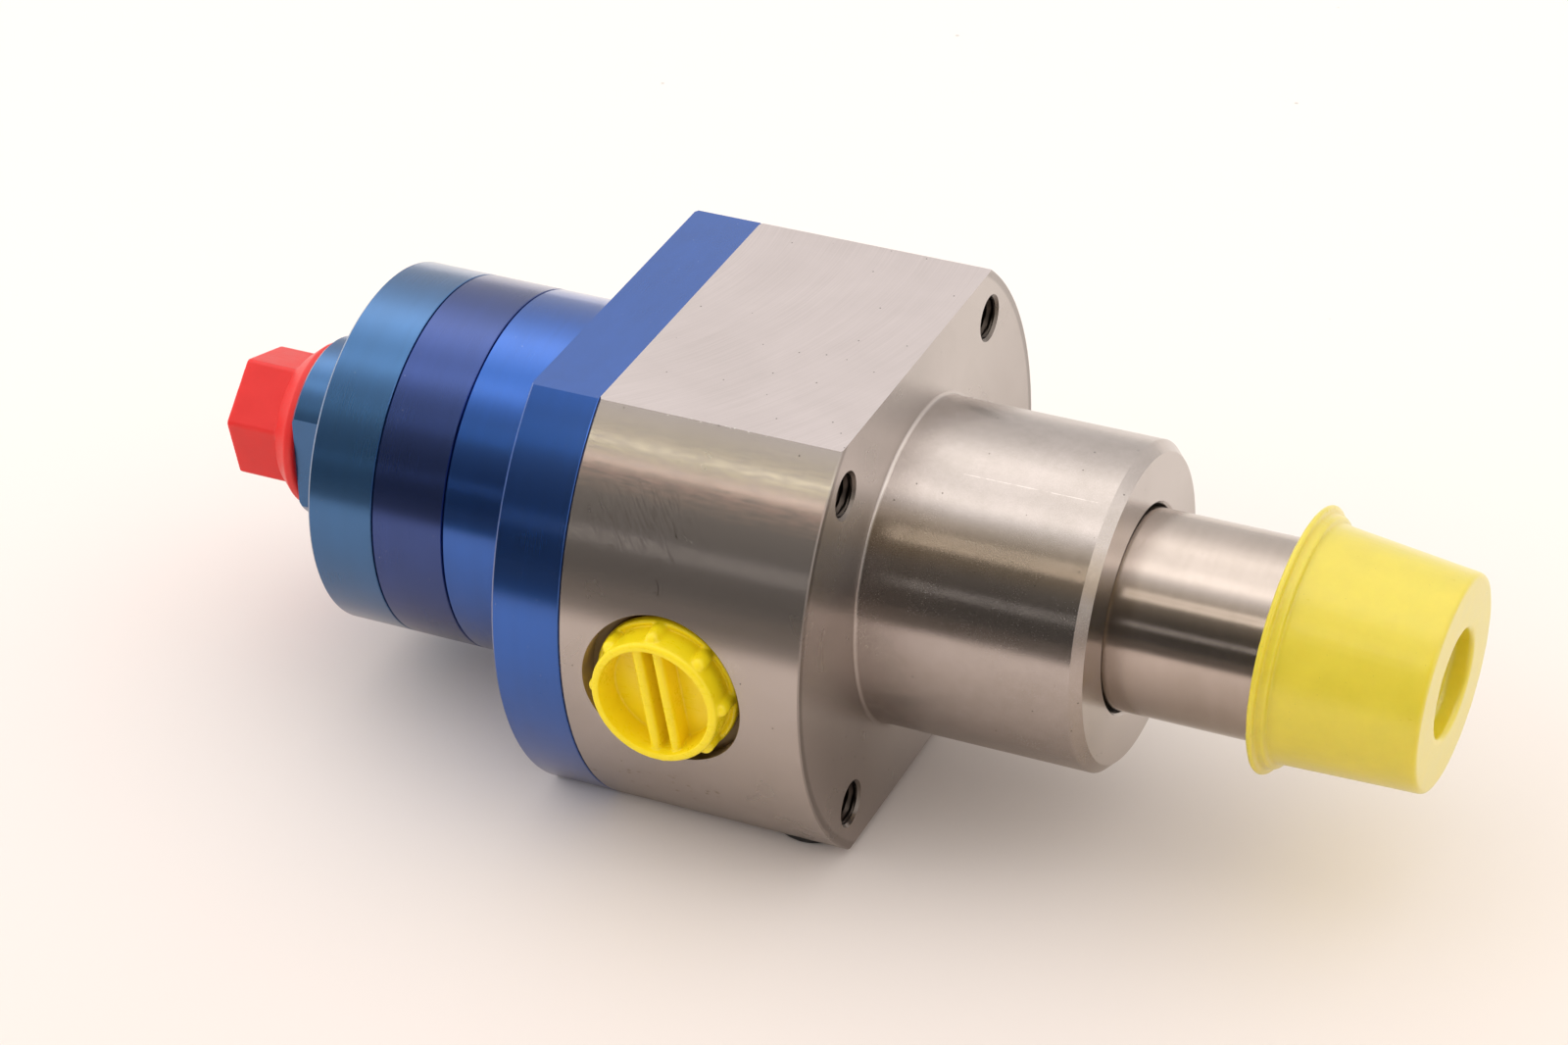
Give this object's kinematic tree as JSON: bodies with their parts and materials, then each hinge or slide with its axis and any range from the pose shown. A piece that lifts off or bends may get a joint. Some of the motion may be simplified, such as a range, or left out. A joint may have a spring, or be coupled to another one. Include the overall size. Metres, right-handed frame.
{
  "type": "hydraulic rotary union",
  "caption": "Flange-mounted hydraulic rotary union: pilot nose, turning rotor, side oil port, rear axial inlet with a spring-loaded face seal, and protective plugs.",
  "frame": {"origin": "on the rotor axis, in the front mounting face of the block", "axes": "+X along the rotor axis towards its nose, +Z normal to the block's flats, -Y towards the side port"},
  "size_m": [0.1808, 0.0845, 0.065],
  "materials": {
    "block_steel": "ground and fine-turned stainless steel",
    "rotor_steel": "ground hardened steel with fine circumferential lines",
    "blue_anodised": "satin bright blue anodising",
    "navy_anodised": "satin dark purple-blue anodising",
    "teal_anodised": "satin steel-blue anodising",
    "bearing_steel": "polished bearing steel",
    "shield_steel": "pressed sheet steel",
    "cage_brass": "machined brass",
    "bush_bronze": "bored bronze",
    "spring_steel": "drawn spring steel",
    "screw_black": "black oxide",
    "seal_rubber": "black nitrile",
    "seal_carbide": "lapped silicon carbide",
    "plug_yellow": "moulded polyethylene",
    "cap_lemon": "moulded soft polyethylene",
    "plug_red": "moulded polyethylene, slightly glossy",
    "plug_black": "moulded soft plastic"
  },
  "bodies": {
    "housing": {"housing_block": "block_steel", "rear_housing": "blue_anodised", "seal_housing": "navy_anodised", "end_cap": "teal_anodised", "flange_screws": "screw_black", "end_cap_screws": "screw_black", "flange_o_ring": "seal_rubber", "seal_housing_o_ring": "seal_rubber", "end_cap_o_ring": "seal_rubber", "carrier_o_ring": "seal_rubber", "bush_o_rings": "seal_rubber", "distributor_bush": "bush_bronze", "front_shaft_seal": "seal_rubber", "seal_garter_spring": "spring_steel", "preload_wave_spring": "spring_steel", "front_bearing_outer_ring": "bearing_steel", "front_bearing_shields": "shield_steel", "rear_bearing_outer_ring": "bearing_steel", "rear_bearing_shields": "shield_steel", "seal_spring": "spring_steel", "anti_rotation_pins": "bearing_steel"},
    "rotor": {"rotor_shaft": "rotor_steel", "front_bearing_inner_ring": "bearing_steel", "rear_bearing_inner_ring": "bearing_steel", "rotor_retaining_ring": "spring_steel", "lock_washer": "shield_steel", "bearing_locknut": "screw_black", "rotating_seal_ring": "seal_carbide"},
    "front_ball_set": {"front_bearing_cage": "cage_brass", "front_bearing_balls": "bearing_steel"},
    "rear_ball_set": {"rear_bearing_cage": "cage_brass", "rear_bearing_balls": "bearing_steel"},
    "floating_seal": {"seal_carrier": "rotor_steel", "floating_seal_ring": "seal_carbide"},
    "nose_cover": {"shaft_cap": "cap_lemon"},
    "side_plug": {"port_plug": "plug_yellow"},
    "rear_plug": {"inlet_plug": "plug_red"},
    "leak_plug": {"drain_plug": "plug_black"}
  },
  "joints": [
    {"name": "rotor_spin", "type": "hinge", "parent": "housing", "child": "rotor", "pos_m": [0, 0, 0], "axis": [1, 0, 0], "continuous": true},
    {"name": "front_cage_spin", "type": "hinge", "parent": "housing", "child": "front_ball_set", "pos_m": [0.0165, 0, 0], "axis": [1, 0, 0], "continuous": true},
    {"name": "rear_cage_spin", "type": "hinge", "parent": "housing", "child": "rear_ball_set", "pos_m": [-0.041, 0, 0], "axis": [1, 0, 0], "continuous": true},
    {"name": "seal_ring_float", "type": "slide", "parent": "housing", "child": "floating_seal", "axis": [-1, 0, 0], "range_m": [0, 0.0015], "stiffness_N_per_m": 8000, "springref_m": -0.003, "deforming": ["seal_spring"]},
    {"name": "shaft_cap_pull", "type": "slide", "parent": "rotor", "child": "nose_cover", "axis": [1, 0, 0], "range_m": [0, 0.04]},
    {"name": "port_plug_pull", "type": "slide", "parent": "housing", "child": "side_plug", "axis": [0, -1, 0], "range_m": [0, 0.02]},
    {"name": "inlet_plug_pull", "type": "slide", "parent": "housing", "child": "rear_plug", "axis": [-1, 0, 0], "range_m": [0, 0.02]},
    {"name": "drain_plug_pull", "type": "slide", "parent": "housing", "child": "leak_plug", "axis": [0, 0, -1], "range_m": [0, 0.01]}
  ],
  "couplings": [
    {"joint": "front_cage_spin", "follows": "rotor_spin", "ratio": 0.4435},
    {"joint": "rear_cage_spin", "follows": "rotor_spin", "ratio": 0.3976}
  ]
}
